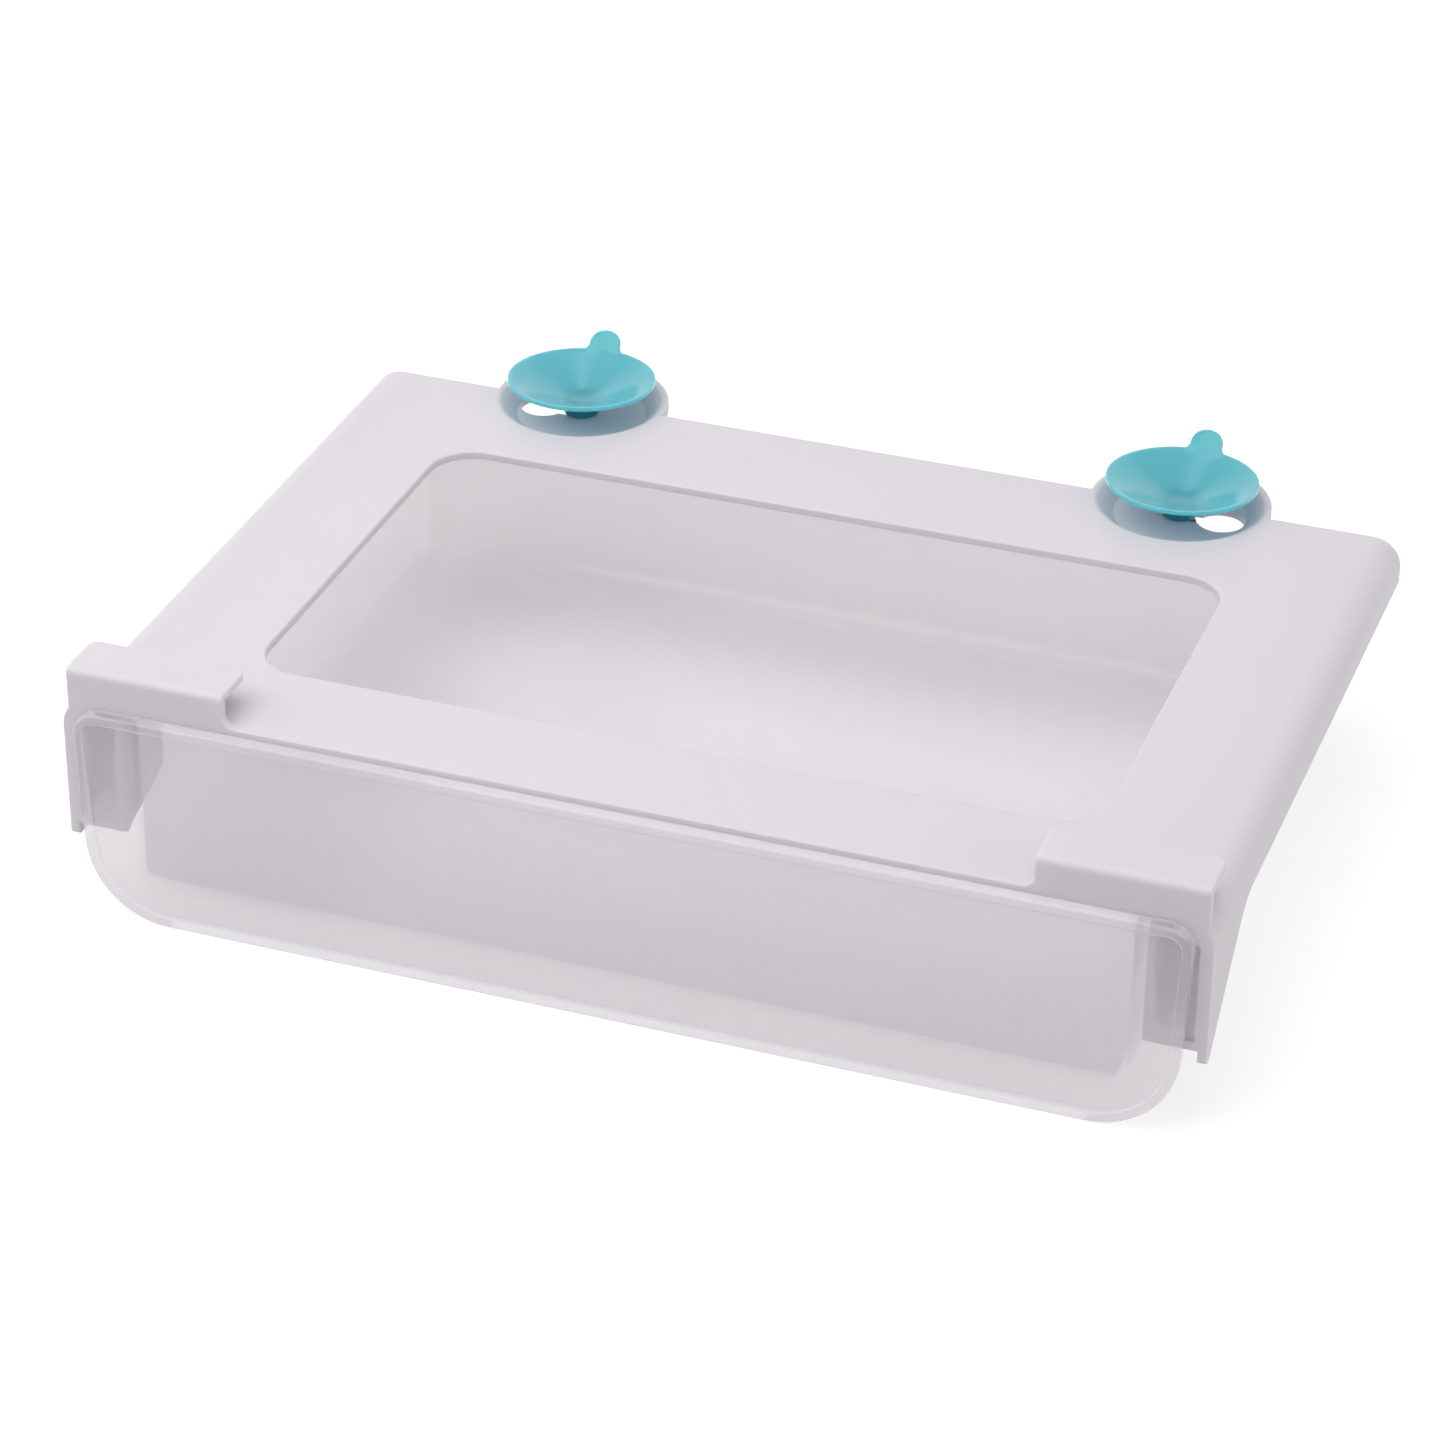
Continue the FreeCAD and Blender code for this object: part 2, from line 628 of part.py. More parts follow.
def on_floor(edge, inset, height):
    """True for the edges round the box's underside or round the hollow's floor."""
    box = edge.BoundBox
    level = at(box.ZMin, height.value) and at(box.ZMax, height.value)
    return level and box.XMax <= (box_half - inset).value + NEAR


def at_front(edge):
    """True for the edge where the box meets the drawer front."""
    return at(edge.BoundBox.YMin, panel_back.value) and at(edge.BoundBox.YMax, panel_back.value)


hollow = new_sketch(drawer, "hollow_outline", "XY_Plane", offset=flange_top)
draw_loop(hollow, [
    (-box_half + s.box_wall, panel_back),
    (box_half - s.box_wall, panel_back),
    (box_half - s.box_wall, box_rear - s.box_wall, s.box_corner - s.box_wall),
    (-box_half + s.box_wall, box_rear - s.box_wall, s.box_corner - s.box_wall),
])
pocket(drawer, "hollow", hollow, s.box_drop - s.box_wall + flange_top)
round_edges(drawer, "hollow_lower_edges", s.box_bottom_round - s.box_wall, lambda e: on_floor(
    e, s.box_wall, s.box_wall - s.box_drop), grows=True)
round_edges(drawer, "box_lower_edges", s.box_bottom_round, lambda e: on_floor(
    e, size(0), -s.box_drop) and not at_front(e))

# flanges that hang on the runners
flanges = new_sketch(drawer, "flange_outlines", "XY_Plane", offset=flange_bottom)
for side in (-1, 1):
    draw_loop(flanges, [
        ((box_half - s.box_wall / 2) * side, panel_face / 2),
        (flange_edge * side, panel_face / 2),
        (flange_edge * side, box_rear - s.box_corner),
        ((box_half - s.box_wall / 2) * side, box_rear - s.box_corner),
    ])
pad(drawer, "flanges", flanges, s.flange_wall)

# the rear wall is lower between its corners, so that it passes under the ears
rear_notch = new_sketch(drawer, "rear_notch_outline", "XZ_Plane", offset=-box_rear)
draw_loop(rear_notch, [
    (s.rear_notch_side - box_half, flange_top),
    (box_half - s.rear_notch_side, flange_top),
    (box_half - s.rear_notch_side, -s.rear_notch_drop),
    (s.rear_notch_side - box_half, -s.rear_notch_drop),
])
pocket(drawer, "rear_notch", rear_notch, s.box_wall + s.box_corner, reverse=True)

# ---------------------------------------------------------------- suction cups

cups = []
for side, word in ((-1, "left"), (1, "right")):
    cup = new_body(f"suction_cup_{word}", ear_x * side, ear_setback)
    profile = new_sketch(cup, f"cup_profile_{word}", "XZ_Plane")
    neck_radius = s.slot_width / 2 - s.neck_clearance
    collar_foot = s.seat_clearance - s.dish_depth
    collar_top = collar_foot + s.collar_height
    button_top = floor_under - s.seat_clearance
    draw_loop(profile, [
        (0, button_top - s.button_height),
        (s.button_radius, button_top - s.button_height),
        (s.button_radius, button_top),
        (neck_radius, button_top),
        (neck_radius, collar_foot),
        (s.collar_radius, collar_foot),
        (s.collar_radius, collar_top),
        (s.cup_radius, s.cup_rise - s.cup_rim_height),
        (s.cup_radius, s.cup_rise),
        (s.cup_radius - s.cup_rim_width, s.cup_rise),
        (neck_radius, collar_top + s.cup_wall),
        (0, collar_top + s.cup_wall),
    ])
    revolve(cup, f"cup_{word}", profile)
    tab = new_sketch(cup, f"tab_outline_{word}", "XZ_Plane", offset=s.tab_inset - s.cup_radius,
                     up=s.cup_rise - s.tab_root, tilt=s.tab_tilt)
    tab_corner = (s.tab_width - s.tab_crown) / 2
    draw_loop(tab, [
        (s.tab_width / -2, 0),
        (s.tab_width / 2, 0),
        (s.tab_width / 2, s.tab_length, tab_corner),
        (s.tab_width / -2, s.tab_length, tab_corner),
    ])
    pad(cup, f"tab_{word}", tab, s.tab_wall, reverse=True)
    cups.append(cup)

# ---------------------------------------------------------------- checks and export

doc.recompute()
for obj in doc.Objects:
    if "Invalid" in obj.State or "Error" in obj.State:
        raise RuntimeError(f"{obj.Name} failed: {obj.State}")

for body in [frame, drawer] + cups:
    shape = body.Shape
    if shape.isNull() or not shape.isValid() or len(shape.Solids) != 1:
        raise RuntimeError(f"{body.Label}: bad shape with {len(shape.Solids)} solids")
    shape.exportStep(f"parts/{body.Label}.step")
    box = shape.BoundBox
    print(f"{body.Label}: {shape.Volume / 1000:.1f} cm3, X {box.XMin:.1f} to {box.XMax:.1f}, "
          f"Y {box.YMin:.1f} to {box.YMax:.1f}, Z {box.ZMin:.1f} to {box.ZMax:.1f}")
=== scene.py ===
# %% [markdown]
# # A fridge drawer organizer
#
# The object hangs under a glass fridge shelf. A white carrier hooks round the shelf's front edge,
# a clear drawer slides in it, and two teal suction cups hold the carrier's rear edge to the glass.
# The rigid mouldings come from the CAD frame and get their finish here. The two soft cups are
# modelled here, because a soft moulding has no hard edge anywhere.

# %% Load the frame
import math

import bmesh
import bpy
from mathutils import Matrix, Vector


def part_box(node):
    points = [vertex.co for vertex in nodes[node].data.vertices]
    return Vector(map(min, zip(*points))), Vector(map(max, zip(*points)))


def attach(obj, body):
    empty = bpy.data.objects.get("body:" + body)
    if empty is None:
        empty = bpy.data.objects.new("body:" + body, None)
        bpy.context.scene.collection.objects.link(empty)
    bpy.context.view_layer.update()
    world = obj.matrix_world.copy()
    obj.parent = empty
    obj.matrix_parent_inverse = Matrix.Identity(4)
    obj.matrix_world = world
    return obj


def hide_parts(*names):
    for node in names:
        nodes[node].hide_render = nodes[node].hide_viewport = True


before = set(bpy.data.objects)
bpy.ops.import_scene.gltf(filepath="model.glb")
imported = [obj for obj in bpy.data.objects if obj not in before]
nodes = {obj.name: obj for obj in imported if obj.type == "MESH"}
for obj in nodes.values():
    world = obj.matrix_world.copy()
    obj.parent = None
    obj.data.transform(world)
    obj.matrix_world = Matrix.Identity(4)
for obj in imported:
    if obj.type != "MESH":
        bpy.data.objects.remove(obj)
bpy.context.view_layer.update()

MM = 0.001


def clear_selection():
    """Leave edit mode and deselect everything: an operator acts on all that is selected."""
    if bpy.context.object and bpy.context.object.mode != "OBJECT":
        bpy.ops.object.mode_set(mode="OBJECT")
    bpy.ops.object.select_all(action="DESELECT")


def pick(piece):
    """Make one object the selected and active one."""
    clear_selection()
    piece.select_set(True)
    bpy.context.view_layer.objects.active = piece


# %% [markdown]
# ## The camera
#
# A long lens gives the flat perspective of a catalogue view: the near and far edges of the plate
# stay almost parallel. The camera is turned 19 degrees to the right of the front and looks down
# by 31 degrees. A small roll about the viewing axis tips the horizon by half a degree.

# %% The camera
CAMERA_PLACE = Vector((0.36401, -1.06778, 0.69213))
CAMERA_TURN = math.radians(19.42)
CAMERA_DOWN = math.radians(30.67)
CAMERA_ROLL = math.radians(0.55)
LENS_MM = 114.25
SENSOR_MM = 36.0

camera_data = bpy.data.cameras.new("catalogue_camera")
camera_data.lens = LENS_MM
camera_data.sensor_width = SENSOR_MM
camera_data.clip_start = 0.05
camera_data.clip_end = 20.0
camera = bpy.data.objects.new("catalogue_camera", camera_data)
bpy.context.scene.collection.objects.link(camera)
bpy.context.scene.camera = camera
upright = Matrix.Rotation(CAMERA_TURN, 4, "Z") @ Matrix.Rotation(math.pi / 2 - CAMERA_DOWN, 4, "X")
camera.matrix_world = Matrix.Translation(CAMERA_PLACE) @ upright @ Matrix.Rotation(CAMERA_ROLL, 4, "Z")

# %% [markdown]
# ## The studio
#
# The object stands on a white sweep in soft, even light. One large lamp above gives the level on
# the surfaces that face up, and one at each side shapes the curved edges. The world adds the rest
# from all round. The view transform is Standard, so a colour renders about as it is written.

# %% The studio's lamps
bpy.context.scene.view_settings.view_transform = "Standard"


def area_lamp(name, place, target, width, height, power):
    """A soft rectangular lamp that points at a target."""
    lamp_data = bpy.data.lights.new(name, "AREA")
    lamp_data.shape = "RECTANGLE"
    lamp_data.size = width
    lamp_data.size_y = height
    lamp_data.energy = power
    lamp = bpy.data.objects.new(name, lamp_data)
    lamp.location = place
    lamp.rotation_euler = (Vector(target) - Vector(place)).to_track_quat("-Z", "Y").to_euler()
    bpy.context.scene.collection.objects.link(lamp)


area_lamp("top_lamp", (-0.5, -0.42, 1.2), (-0.45, -0.37, 0.05), 1.3, 2.0, 11.8)
area_lamp("left_lamp", (-1.5, -0.4, 0.7), (0, 0, 0.05), 0.9, 0.7, 2.5)
area_lamp("right_lamp", (1.5, -0.3, 0.5), (0, 0, 0.05), 0.9, 0.7, 3.2)

# %% [markdown]
# What stands round the object has to look white without adding light to it. The Light Path node
# tells a ray that the camera, a mirror or a clear piece sends out from one that only gathers
# light: the first kind sees a white world and a lifted floor, the second a dimmer one. A mirror
# ray that points high up sees a grey ceiling, so that the lamp's edge shows in glossy pieces.

# %% Rays that see the white studio
WORLD_LEVEL = 0.41
CEILING_LEVEL = 0.35
CEILING_EDGE = (0.55, 0.75)
FLOOR_SIDE = 12.0
FLOOR_LIFT = 0.62


def add_math(tree, operation, first, second):
    """A Math node of two values, each a socket or a number."""
    node = tree.nodes.new("ShaderNodeMath")
    node.operation = operation
    for socket, value in zip(node.inputs, (first, second)):
        if isinstance(value, float):
            socket.default_value = value
        else:
            tree.links.new(value, socket)
    return node.outputs[0]


def mirror_rays(tree):
    """1 for the rays that glossy and clear surfaces send out, 0 for the rest."""
    paths = tree.nodes.new("ShaderNodeLightPath")
    return add_math(tree, "MAXIMUM", paths.outputs["Is Glossy Ray"], paths.outputs["Is Transmission Ray"])


def camera_rays(tree):
    """1 for the camera's own rays, 0 for the rest."""
    return tree.nodes.new("ShaderNodeLightPath").outputs["Is Camera Ray"]


world = bpy.data.worlds.new("studio_world")
bpy.context.scene.world = world
world.use_nodes = True
tree = world.node_tree
direction = tree.nodes.new("ShaderNodeTexCoord")
parts = tree.nodes.new("ShaderNodeSeparateXYZ")
ceiling = tree.nodes.new("ShaderNodeMapRange")
ceiling.interpolation_type = "SMOOTHSTEP"
ceiling.inputs["From Min"].default_value, ceiling.inputs["From Max"].default_value = CEILING_EDGE
ceiling.inputs["To Min"].default_value = 1.0
ceiling.inputs["To Max"].default_value = CEILING_LEVEL
tree.links.new(direction.outputs["Generated"], parts.inputs[0])
tree.links.new(parts.outputs["Z"], ceiling.inputs["Value"])
reflected = add_math(tree, "MULTIPLY", mirror_rays(tree), ceiling.outputs["Result"])
seen = add_math(tree, "MAXIMUM", reflected, camera_rays(tree))
strength = add_math(tree, "MAXIMUM", seen, WORLD_LEVEL)
tree.nodes["Background"].inputs["Color"].default_value = (1.0, 1.0, 1.0, 1.0)
tree.links.new(strength, tree.nodes["Background"].inputs["Strength"])


# %% The floor
def new_material(name):
    """A material with an empty node tree, the tree and its output."""
    material = bpy.data.materials.new(name)
    material.use_nodes = True
    tree = material.node_tree
    tree.nodes.clear()
    output = tree.nodes.new("ShaderNodeOutputMaterial")
    return material, tree, output


floor_material, tree, output = new_material("white_sweep")
matt = tree.nodes.new("ShaderNodeBsdfDiffuse")
matt.inputs["Color"].default_value = (0.62, 0.62, 0.62, 1.0)
glow = tree.nodes.new("ShaderNodeEmission")
seen = add_math(tree, "MAXIMUM", mirror_rays(tree), camera_rays(tree))
both = tree.nodes.new("ShaderNodeAddShader")
tree.links.new(add_math(tree, "MULTIPLY", seen, FLOOR_LIFT), glow.inputs["Strength"])
tree.links.new(matt.outputs[0], both.inputs[0])
tree.links.new(glow.outputs[0], both.inputs[1])
tree.links.new(both.outputs[0], output.inputs["Surface"])

clear_selection()
bpy.ops.mesh.primitive_plane_add(size=FLOOR_SIDE, location=(0, 0, 0))
floor = bpy.context.object
floor.name = "floor"
floor.data.materials.append(floor_material)

# %% [markdown]
# ## One effect for every moulding
#
# All four pieces are injection moulded. The steel of the mould leaves a fine spark grain on the
# surface, the gloss drifts a little from place to place, and the colour drifts with it. This is
# one node group, placed in each material with its own numbers: a coarse noise moves the colour
# and the roughness, and a fine one gives the height of the grain.


# %% The moulding grain group
def add_socket(group, name, in_out, kind, value=None):
    socket = group.interface.new_socket(name=name, in_out=in_out, socket_type=kind)
    if value is not None:
        socket.default_value = value


grain_group = bpy.data.node_groups.new("moulding_grain", "ShaderNodeTree")
add_socket(grain_group, "Colour", "INPUT", "NodeSocketColor", (0.8, 0.8, 0.8, 1.0))
add_socket(grain_group, "Deep Colour", "INPUT", "NodeSocketColor", (0.75, 0.75, 0.75, 1.0))
add_socket(grain_group, "Drift Scale", "INPUT", "NodeSocketFloat", 12.0)
add_socket(grain_group, "Grain Scale", "INPUT", "NodeSocketFloat", 1500.0)
add_socket(grain_group, "Least Roughness", "INPUT", "NodeSocketFloat", 0.3)
add_socket(grain_group, "Most Roughness", "INPUT", "NodeSocketFloat", 0.4)
add_socket(grain_group, "Colour", "OUTPUT", "NodeSocketColor")
add_socket(grain_group, "Roughness", "OUTPUT", "NodeSocketFloat")
add_socket(grain_group, "Height", "OUTPUT", "NodeSocketFloat")

group_in = grain_group.nodes.new("NodeGroupInput")
group_out = grain_group.nodes.new("NodeGroupOutput")
places = grain_group.nodes.new("ShaderNodeTexCoord")
drift = grain_group.nodes.new("ShaderNodeTexNoise")
drift.inputs["Detail"].default_value = 3.0
grain = grain_group.nodes.new("ShaderNodeTexNoise")
grain.inputs["Detail"].default_value = 2.0
blend = grain_group.nodes.new("ShaderNodeMix")
blend.data_type = "RGBA"
gloss = grain_group.nodes.new("ShaderNodeMapRange")
link = grain_group.links.new
link(places.outputs["Object"], drift.inputs["Vector"])
link(places.outputs["Object"], grain.inputs["Vector"])
link(group_in.outputs["Drift Scale"], drift.inputs["Scale"])
link(group_in.outputs["Grain Scale"], grain.inputs["Scale"])
link(drift.outputs["Fac"], blend.inputs["Factor"])
link(group_in.outputs["Colour"], blend.inputs["A"])
link(group_in.outputs["Deep Colour"], blend.inputs["B"])
link(drift.outputs["Fac"], gloss.inputs["Value"])
link(group_in.outputs["Least Roughness"], gloss.inputs["To Min"])
link(group_in.outputs["Most Roughness"], gloss.inputs["To Max"])
link(blend.outputs["Result"], group_out.inputs["Colour"])
link(gloss.outputs["Result"], group_out.inputs["Roughness"])
link(grain.outputs["Fac"], group_out.inputs["Height"])


SPARK_DEPTH = 0.02 * MM


def moulded(tree, colour, deep_colour, drift_scale, grain_scale, roughness, bump=SPARK_DEPTH):
    """A Principled shader fed by the moulding grain group: returns the shader and the group."""
    effect = tree.nodes.new("ShaderNodeGroup")
    effect.node_tree = grain_group
    effect.inputs["Colour"].default_value = (*colour, 1.0)
    effect.inputs["Deep Colour"].default_value = (*deep_colour, 1.0)
    effect.inputs["Drift Scale"].default_value = drift_scale
    effect.inputs["Grain Scale"].default_value = grain_scale
    effect.inputs["Least Roughness"].default_value = roughness[0]
    effect.inputs["Most Roughness"].default_value = roughness[1]
    relief = tree.nodes.new("ShaderNodeBump")
    relief.inputs["Strength"].default_value = 1.0
    relief.inputs["Distance"].default_value = bump
    skin = tree.nodes.new("ShaderNodeBsdfPrincipled")
    tree.links.new(effect.outputs["Colour"], skin.inputs["Base Color"])
    tree.links.new(effect.outputs["Roughness"], skin.inputs["Roughness"])
    tree.links.new(effect.outputs["Height"], relief.inputs["Height"])
    tree.links.new(relief.outputs["Normal"], skin.inputs["Normal"])
    return skin, effect


def dress(node, material):
    """Give a CAD node its material."""
    mesh = nodes[node].data
    mesh.materials.clear()
    mesh.materials.append(material)


# %% [markdown]
# ## White plastic
#
# The carrier is polypropylene, a little translucent and faintly lavender, with a satin mould
# finish. A small share of subsurface scattering lets light bleed round its thin edges.

# %% The carrier's finish
white_plastic, tree, output = new_material("white_plastic")
skin = moulded(tree, (0.83, 0.79, 0.835), (0.79, 0.745, 0.80), 9.0, 1300.0, (0.34, 0.46))[0]
skin.inputs["IOR"].default_value = 1.46
skin.inputs["Subsurface Weight"].default_value = 0.4
skin.inputs["Subsurface Radius"].default_value = (1.0, 0.9, 1.0)
skin.inputs["Subsurface Scale"].default_value = 0.004
tree.links.new(skin.outputs[0], output.inputs["Surface"])
dress("carrier_frame", white_plastic)

# %% [markdown]
# ## Clear plastic
#
# The drawer is clear but milky. Each surface scatters part of the light like white plastic, blurs
# a part by rough transmission and lets the rest straight through, so two walls behind each other
# look denser than one. The straight part also lets lamp light into the drawer, which keeps its
# inside bright. A thin clear coat gives the rim its sharp highlights.

# %% The drawer's finish
clear_plastic, tree, output = new_material("clear_plastic")
skin = moulded(tree, (0.975, 0.925, 0.975), (0.945, 0.89, 0.95), 14.0, 900.0, (0.16, 0.24))[0]
skin.inputs["IOR"].default_value = 1.5
skin.inputs["Transmission Weight"].default_value = 0.1
skin.inputs["Alpha"].default_value = 0.44
skin.inputs["Coat Weight"].default_value = 0.6
skin.inputs["Coat Roughness"].default_value = 0.08
tree.links.new(skin.outputs[0], output.inputs["Surface"])
dress("drawer", clear_plastic)

# %% [markdown]
# ## The suction cups
#
# A suction cup is one soft moulding: a button, a neck that sits in the keyhole's slot, a collar,
# a thin cone that spreads to the rim, and a pull tab at the rear. By hand it is made from a
# circle: each ring of the profile is one extrusion of the edge loop, moved up and scaled about
# the axis, and the last ring is closed at the centre. The tab grows from the rim's faces at the
# rear, and a bevel and a subdivision surface take off the hard edges.

# %% The cup's sizes, from the CAD cup
cup_low, cup_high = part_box("suction_cup_left")
CUP_RADIUS = (cup_high.x - cup_low.x) / 2
CUP_AXIS = Vector(((cup_low.x + cup_high.x) / 2, cup_low.y + CUP_RADIUS, 0))
BUTTON_RADIUS = 5.0 * MM
NECK_RADIUS = 3.2 * MM
COLLAR_RADIUS = 5.2 * MM
NECK_FOOT = cup_low.z + 2.4 * MM
COLLAR_FOOT = cup_low.z + 5.0 * MM
CONE_FOOT = cup_low.z + 7.4 * MM
BOWL_FOOT = CONE_FOOT + 1.5 * MM
RIM_UNDER = cup_low.z + 14.9 * MM
RIM_TOP = cup_low.z + 16.1 * MM
RIM_FLAT = 0.8 * MM
CONE_RINGS = 7
CUP_SEGMENTS = 96
print("cup diameter in mm:", round(CUP_RADIUS * 2000, 1))


# %% The cup's profile as rings
def cone_rings(inner_radius, inner_height, outer_radius, outer_height):
    """Evenly spaced rings of a straight cone."""
    rings = []
    for step in range(1, CONE_RINGS + 1):
        share = step / CONE_RINGS
        radius = inner_radius + (outer_radius - inner_radius) * share
        height = inner_height + (outer_height - inner_height) * share
        rings.append((radius, height))
    return rings


cup_rings = [
    (BUTTON_RADIUS, NECK_FOOT),
    (NECK_RADIUS, NECK_FOOT),
    (NECK_RADIUS, COLLAR_FOOT),
    (COLLAR_RADIUS, COLLAR_FOOT),
    (COLLAR_RADIUS, CONE_FOOT),
]
cup_rings += cone_rings(COLLAR_RADIUS, CONE_FOOT, CUP_RADIUS, RIM_UNDER)
cup_rings += [(CUP_RADIUS, RIM_TOP), (CUP_RADIUS - RIM_FLAT, RIM_TOP)]
cup_rings += cone_rings(CUP_RADIUS - RIM_FLAT, RIM_TOP, NECK_RADIUS, BOWL_FOOT)
print("cup rings:", len(cup_rings))

# %% Extrude the rings
clear_selection()
bpy.ops.mesh.primitive_circle_add(
    vertices=CUP_SEGMENTS,
    radius=BUTTON_RADIUS,
    fill_type="NGON",
    location=(CUP_AXIS.x, CUP_AXIS.y, cup_low.z),
)
cup = bpy.context.object
cup.name = "soft_cup_left"
bpy.ops.object.mode_set(mode="EDIT")
bpy.ops.mesh.select_mode(type="EDGE")
bpy.ops.mesh.select_all(action="SELECT")
ring_radius, ring_height = BUTTON_RADIUS, cup_low.z
for radius, height in cup_rings:
    bpy.ops.mesh.extrude_edges_move(TRANSFORM_OT_translate={"value": (0, 0, height - ring_height)})
    centre = (CUP_AXIS.x, CUP_AXIS.y, height)
    scale = radius / ring_radius
    if abs(scale - 1) > 1e-6:
        bpy.ops.transform.resize(value=(scale, scale, 1), center_override=centre)
    ring_radius, ring_height = radius, height
bpy.ops.mesh.edge_face_add()
bpy.ops.mesh.select_all(action="SELECT")
bpy.ops.mesh.normals_make_consistent(inside=False)
bpy.ops.object.mode_set(mode="OBJECT")
bpy.ops.object.transform_apply(location=True, rotation=True, scale=True)
print("cup body faces:", len(cup.data.polygons))

# %% [markdown]
# The pull tab continues the cone at the rear. The rim's flat faces there are extruded along the
# tab's lean. A ring is round and the tab is flat, so after the first step its front and back rows
# of points are straightened, each by scaling it along Y. The last steps follow a half circle.

# %% Pick faces or points by their place
def select_where(piece, kind, test):
    """In edit mode, select the faces or the points whose place passes the test."""
    bpy.ops.mesh.select_mode(type=kind)
    bpy.ops.mesh.select_all(action="DESELECT")
    mesh = bmesh.from_edit_mesh(piece.data)
    chosen = 0
    for part in mesh.faces if kind == "FACE" else mesh.verts:
        place = part.calc_center_median() if kind == "FACE" else part.co
        if test(place):
            part.select_set(True)
            chosen += 1
    mesh.select_flush_mode()
    bmesh.update_edit_mesh(piece.data)
    return chosen


# %% Grow the pull tab
TAB_ROOT_HALF = 5.4 * MM
TAB_HALF = 4.6 * MM
TAB_CROWN_HALF = 0.5 * MM
TAB_LENGTH = 6.2 * MM
TAB_LEAN = math.radians(38)
TAB_BOW = 0.45
TAB_THICKEN = 1.15
TAB_FIRST_RISE = 1.1 * MM
SAME_HEIGHT = 0.02 * MM
ROUND_END = TAB_HALF - TAB_CROWN_HALF
lean = Vector((0, math.sin(TAB_LEAN), math.cos(TAB_LEAN)))
rim_rear = CUP_AXIS + Vector((0, CUP_RADIUS, RIM_TOP))


def extrude_tab(along, width_scale, thickness_scale):
    """One more step of the tab: the chosen faces move up the lean and are scaled."""
    bpy.ops.mesh.extrude_region_move(TRANSFORM_OT_translate={"value": lean * along})
    bpy.ops.transform.resize(value=(width_scale, thickness_scale, 1), center_override=rim_rear + lean * along)


def is_rim_rear(place):
    """The flat faces of the rim where the tab stands."""
    away = place - CUP_AXIS
    return abs(away.z - RIM_TOP) < 0.01 * MM and away.y > 0 and abs(away.x) < TAB_ROOT_HALF


pick(cup)
bpy.ops.object.mode_set(mode="EDIT")
print("faces under the tab:", select_where(cup, "FACE", is_rim_rear))
extrude_tab(TAB_FIRST_RISE, TAB_HALF / TAB_ROOT_HALF, TAB_THICKEN)
row_height = RIM_TOP + TAB_FIRST_RISE * lean.z
middle_radius = CUP_RADIUS - RIM_FLAT / 2 + TAB_FIRST_RISE * lean.y
for behind in (True, False):
    row = select_where(cup, "VERT", lambda place: abs(place.z - row_height) < SAME_HEIGHT and (
        (place.xy - CUP_AXIS.xy).length > middle_radius) == behind)
    edge_y = max(v.co.y for v in bmesh.from_edit_mesh(cup.data).verts if v.select)
    bpy.ops.transform.resize(value=(1, TAB_BOW, 1), center_override=(CUP_AXIS.x, edge_y, row_height))
    print("points in the row:", row)
select_where(cup, "FACE", lambda place: abs(place.z - row_height) < SAME_HEIGHT)

half, along = TAB_HALF, TAB_FIRST_RISE
straight = TAB_LENGTH - ROUND_END
stations = [(straight, TAB_HALF)]
for degrees in (15, 30, 45, 58, 70, 80, 90):
    turn = math.radians(degrees)
    stations.append((straight + ROUND_END * math.sin(turn), TAB_CROWN_HALF + ROUND_END * math.cos(turn)))
for next_along, next_half in stations:
    rise = next_along - along
    bpy.ops.mesh.extrude_region_move(TRANSFORM_OT_translate={"value": lean * rise})
    middle = (CUP_AXIS.x, rim_rear.y, RIM_TOP + lean.z * next_along)
    bpy.ops.transform.resize(value=(next_half / half, 1, 1), center_override=middle)
    half, along = next_half, next_along
bpy.ops.object.mode_set(mode="OBJECT")
print("cup faces with the tab:", len(cup.data.polygons))

# %% [markdown]
# A soft cup that nothing presses leans on its neck. Everything above the collar is turned a little
# to the rear, about the foot of the cone, so the rim's front stands higher than its rear.

# %% Lean the cone to the rear
CUP_LEAN = math.radians(2.5)

pick(cup)
bpy.ops.object.mode_set(mode="EDIT")
select_where(cup, "VERT", lambda place: place.z > CONE_FOOT + 0.01 * MM)
foot_middle = (CUP_AXIS.x, CUP_AXIS.y, CONE_FOOT)
bpy.ops.transform.rotate(value=CUP_LEAN, orient_axis="X", center_override=foot_middle)
bpy.ops.object.mode_set(mode="OBJECT")
rim_points = [v.co for v in cup.data.vertices if (v.co.xy - CUP_AXIS.xy).length > CUP_RADIUS - RIM_FLAT]
rim_front = max(p.z for p in rim_points if p.y < CUP_AXIS.y - 0.9 * CUP_RADIUS)
rim_side = max(p.z for p in rim_points if abs(p.y - CUP_AXIS.y) < 1.0 * MM)
print("rim's front over its side in mm:", round((rim_front - rim_side) * 1000, 2))

# %% Soften the edges
EDGE_SOFTNESS = 0.25 * MM
SHARPEST_KEPT = math.radians(35)


def apply_modifier(piece, kind, **values):
    """Add a modifier, set its values and apply it."""
    modifier = piece.modifiers.new(kind.lower(), kind)
    for name, value in values.items():
        setattr(modifier, name, value)
    pick(piece)
    bpy.ops.object.modifier_apply(modifier=modifier.name)


apply_modifier(
    cup, "BEVEL", width=EDGE_SOFTNESS, segments=2, limit_method="ANGLE", angle_limit=SHARPEST_KEPT)
apply_modifier(cup, "SUBSURF", levels=1, render_levels=1)
pick(cup)
bpy.ops.object.shade_smooth()
print("finished cup faces:", len(cup.data.polygons))
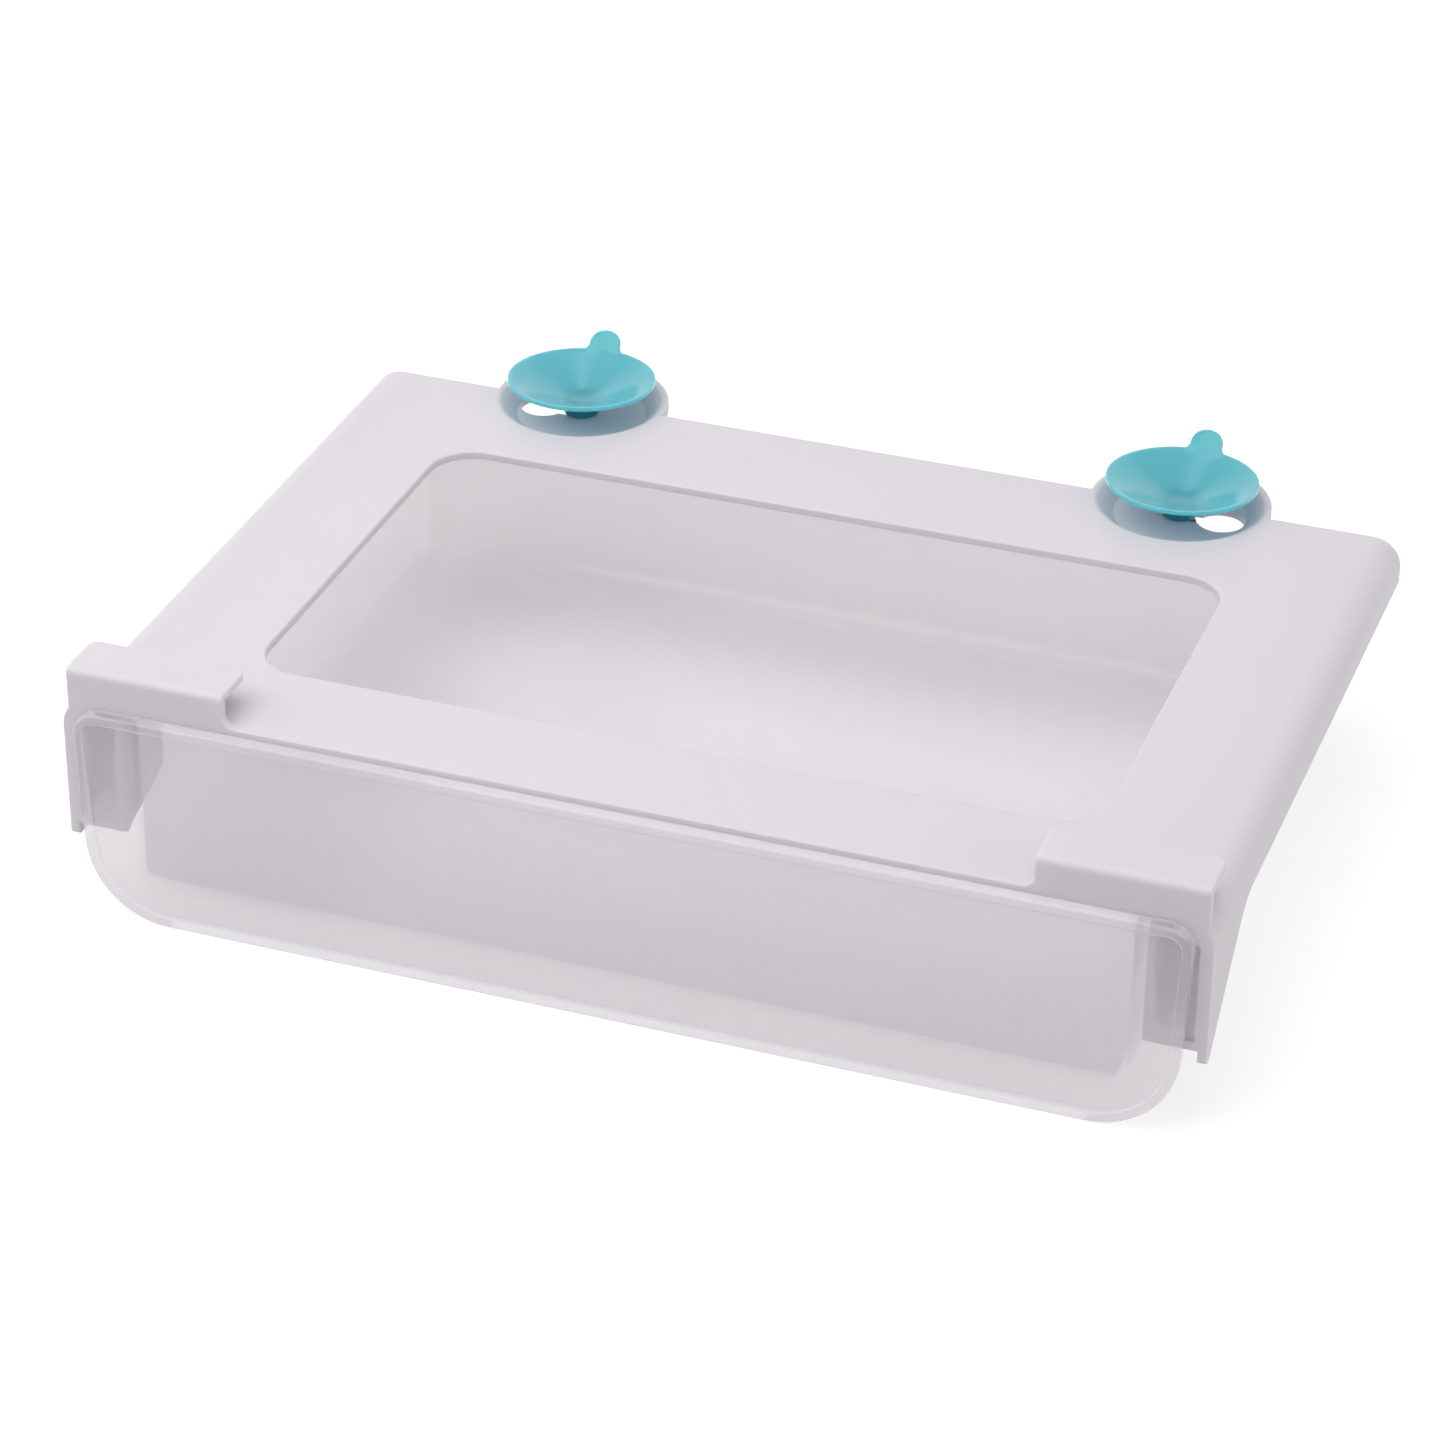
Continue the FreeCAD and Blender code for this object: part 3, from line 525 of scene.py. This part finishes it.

# %% [markdown]
# ## Teal vinyl
#
# The cups are soft PVC, glossy from a polished mould. The button and collar are painted a darker
# teal than the cone, darkening towards the bottom of the cup: painted shade under the cone, and in
# part the denser look of the thick vinyl. Light that goes into the thin wall comes out on the other
# side, and subsurface scattering lights the cone from within. Its shadow on the dish is teal too: a
# ray that looks for a lamp passes the wall and takes the dye's tint, which costs no extra samples.

# %% The cups' finish
CUP_COLOUR = (0.15, 0.55, 0.64)
CUP_DEEP_COLOUR = (0.13, 0.51, 0.60)
# Painted shade: the dark teal painted on the button and collar below the cone, partly the thick vinyl's
# denser colour.
SHADED_COLLAR_COLOUR = (0.01, 0.26, 0.36, 1.0)
SHADE_TINT = (0.36, 0.76, 0.85, 1.0)
SHADE_SHARE = 0.55
CUP_SPARK_DEPTH = 0.01 * MM

teal_vinyl, tree, output = new_material("teal_vinyl")
skin, effect = moulded(tree, CUP_COLOUR, CUP_DEEP_COLOUR, 40.0, 1600.0, (0.13, 0.2), CUP_SPARK_DEPTH)
places = tree.nodes.new("ShaderNodeTexCoord")
parts = tree.nodes.new("ShaderNodeSeparateXYZ")
# Painted shade under the cone: by height, the colour goes from the dark teal at the collar to the cup's teal
# up the cone.
collar_shade_ramp = tree.nodes.new("ShaderNodeMapRange")
collar_shade_ramp.inputs["From Min"].default_value = CONE_FOOT - 1.0 * MM
collar_shade_ramp.inputs["From Max"].default_value = CONE_FOOT + 3.0 * MM
shaded_collar_mix = tree.nodes.new("ShaderNodeMix")
shaded_collar_mix.data_type = "RGBA"
shaded_collar_mix.inputs["A"].default_value = SHADED_COLLAR_COLOUR
tree.links.new(places.outputs["Object"], parts.inputs[0])
tree.links.new(parts.outputs["Z"], collar_shade_ramp.inputs["Value"])
tree.links.new(collar_shade_ramp.outputs["Result"], shaded_collar_mix.inputs["Factor"])
tree.links.new(effect.outputs["Colour"], shaded_collar_mix.inputs["B"])
tree.links.new(shaded_collar_mix.outputs["Result"], skin.inputs["Base Color"])
skin.inputs["IOR"].default_value = 1.5
skin.inputs["Subsurface Weight"].default_value = 0.85
skin.inputs["Subsurface Radius"].default_value = (0.35, 1.0, 1.0)
skin.inputs["Subsurface Scale"].default_value = 0.004
tinted = tree.nodes.new("ShaderNodeBsdfTransparent")
tinted.inputs["Color"].default_value = SHADE_TINT
for_lamps = tree.nodes.new("ShaderNodeMixShader")
paths = tree.nodes.new("ShaderNodeLightPath")
shade = add_math(tree, "MULTIPLY", paths.outputs["Is Shadow Ray"], SHADE_SHARE)
tree.links.new(shade, for_lamps.inputs["Fac"])
tree.links.new(skin.outputs[0], for_lamps.inputs[1])
tree.links.new(tinted.outputs[0], for_lamps.inputs[2])
tree.links.new(for_lamps.outputs[0], output.inputs["Surface"])

# %% [markdown]
# Both cups are round apart from the tab, so each can be turned in its keyhole. They were pushed in
# with their tabs a few degrees outwards, away from each other.

# %% Copy the cup and seat both
TAB_TURN = math.radians(3.0)

cup.data.materials.append(teal_vinyl)
clear_selection()
twin = cup.copy()
twin.data = cup.data.copy()
twin.name = "soft_cup_right"
bpy.context.scene.collection.objects.link(twin)
right_low, right_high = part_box("suction_cup_right")
twin.location.x = right_low.x - cup_low.x
pick(twin)
bpy.ops.object.transform_apply(location=True, rotation=True, scale=True)
twin_axis = CUP_AXIS.x + right_low.x - cup_low.x
for piece, axis_x, outwards in ((cup, CUP_AXIS.x, -1), (twin, twin_axis, 1)):
    pick(piece)
    bpy.ops.transform.rotate(
        value=TAB_TURN * outwards, orient_axis="Z", center_override=(axis_x, CUP_AXIS.y, CONE_FOOT))
    bpy.ops.object.transform_apply(location=True, rotation=True, scale=True)
    tab_tip = max((v.co for v in piece.data.vertices), key=lambda place: place.y)
    print("tab's tip beside the cup's axis in mm:", round((tab_tip.x - axis_x) * 1000, 2))
for piece, body, node in ((cup, "cup_left", "suction_cup_left"), (twin, "cup_right", "suction_cup_right")):
    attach(piece, body)
    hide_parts(node)
